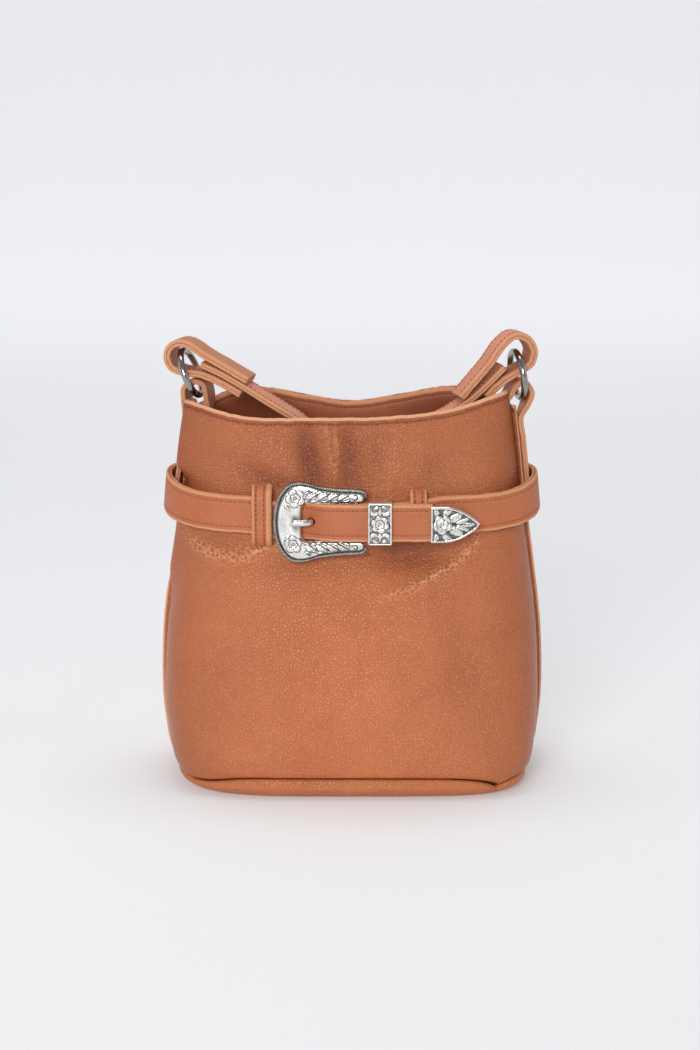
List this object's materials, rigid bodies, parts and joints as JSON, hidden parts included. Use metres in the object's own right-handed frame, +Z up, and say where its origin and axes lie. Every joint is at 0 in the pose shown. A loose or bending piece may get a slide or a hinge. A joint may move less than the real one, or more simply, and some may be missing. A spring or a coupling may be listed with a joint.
{
  "type": "sling bag",
  "caption": "Small leather bucket sling bag with a rolled base, cinched by a belt with a metal buckle, keeper and tip; its shoulder strap is tucked inside.",
  "frame": {"origin": "centre of the flat underside of the base, which is also the bottom centre of the whole bag", "axes": "+Z up; -Y is the front, with the buckle; +X is to the right seen from the front"},
  "size_m": [0.2118, 0.1222, 0.2444],
  "materials": {
    "body_leather": "pebbled, satin",
    "facing_leather": "suede inner face",
    "base_board": "pressed fibre board",
    "belt_leather": "satin grain with raw edges",
    "strap_leather": "satin grain with raw edges",
    "buckle_metal": "antique silver, engraved and polished",
    "ring_metal": "polished nickel"
  },
  "bodies": {
    "bag": {"front_panel": "body_leather", "back_panel": "body_leather", "base_panel": "body_leather", "front_rim_facing": "facing_leather", "back_rim_facing": "facing_leather", "base_stiffener": "base_board", "belt_outer": "belt_leather", "belt_lining": "belt_leather", "left_belt_loop": "belt_leather", "right_belt_loop": "belt_leather", "belt_tip": "buckle_metal", "shoulder_strap": "strap_leather", "left_hanger_tab": "strap_leather", "right_hanger_tab": "strap_leather"},
    "buckle": {"buckle_frame": "buckle_metal", "buckle_crossbar": "buckle_metal"},
    "prong": {"buckle_prong": "buckle_metal"},
    "keeper": {"belt_keeper": "buckle_metal"},
    "left_ring": {"left_ring": "ring_metal"},
    "right_ring": {"right_ring": "ring_metal"},
    "left_strap": {"left_strap_chape": "strap_leather", "left_strap_end": "strap_leather"},
    "right_strap": {"right_strap_chape": "strap_leather", "right_strap_end": "strap_leather"}
  },
  "joints": [
    {"name": "left_ring_swing", "type": "hinge", "parent": "bag", "child": "left_ring", "pos_m": [-0.08355, -0.00095, 0.21314], "axis": [0.2079, 0.9781, 0], "range_deg": [-6, 6]},
    {"name": "right_ring_swing", "type": "hinge", "parent": "bag", "child": "right_ring", "pos_m": [0.09233, 0.00037, 0.21142], "axis": [-0.2079, 0.9781, 0], "range_deg": [-6, 6]},
    {"name": "left_strap_bend", "type": "hinge", "parent": "bag", "child": "left_strap", "pos_m": [-0.09245, 0.00095, 0.23686], "axis": [0.2079, 0.9781, 0], "range_deg": [-6, 4], "stiffness_Nm_per_rad": 0.3},
    {"name": "right_strap_bend", "type": "hinge", "parent": "bag", "child": "right_strap", "pos_m": [0.08887, -0.00037, 0.23658], "axis": [-0.2079, 0.9781, 0], "range_deg": [-6, 6], "stiffness_Nm_per_rad": 0.3},
    {"name": "buckle_tilt", "type": "hinge", "parent": "bag", "child": "buckle", "pos_m": [0.003, -0.0448, 0.1535], "axis": [0, 0, 1], "range_deg": [0, 3]},
    {"name": "prong_lift", "type": "hinge", "parent": "buckle", "child": "prong", "pos_m": [0.003, -0.0448, 0.1535], "axis": [0, 0, 1], "range_deg": [0, 3]},
    {"name": "keeper_slide", "type": "slide", "parent": "bag", "child": "keeper", "axis": [1, 0, 0], "range_m": [0, 0.008]}
  ]
}
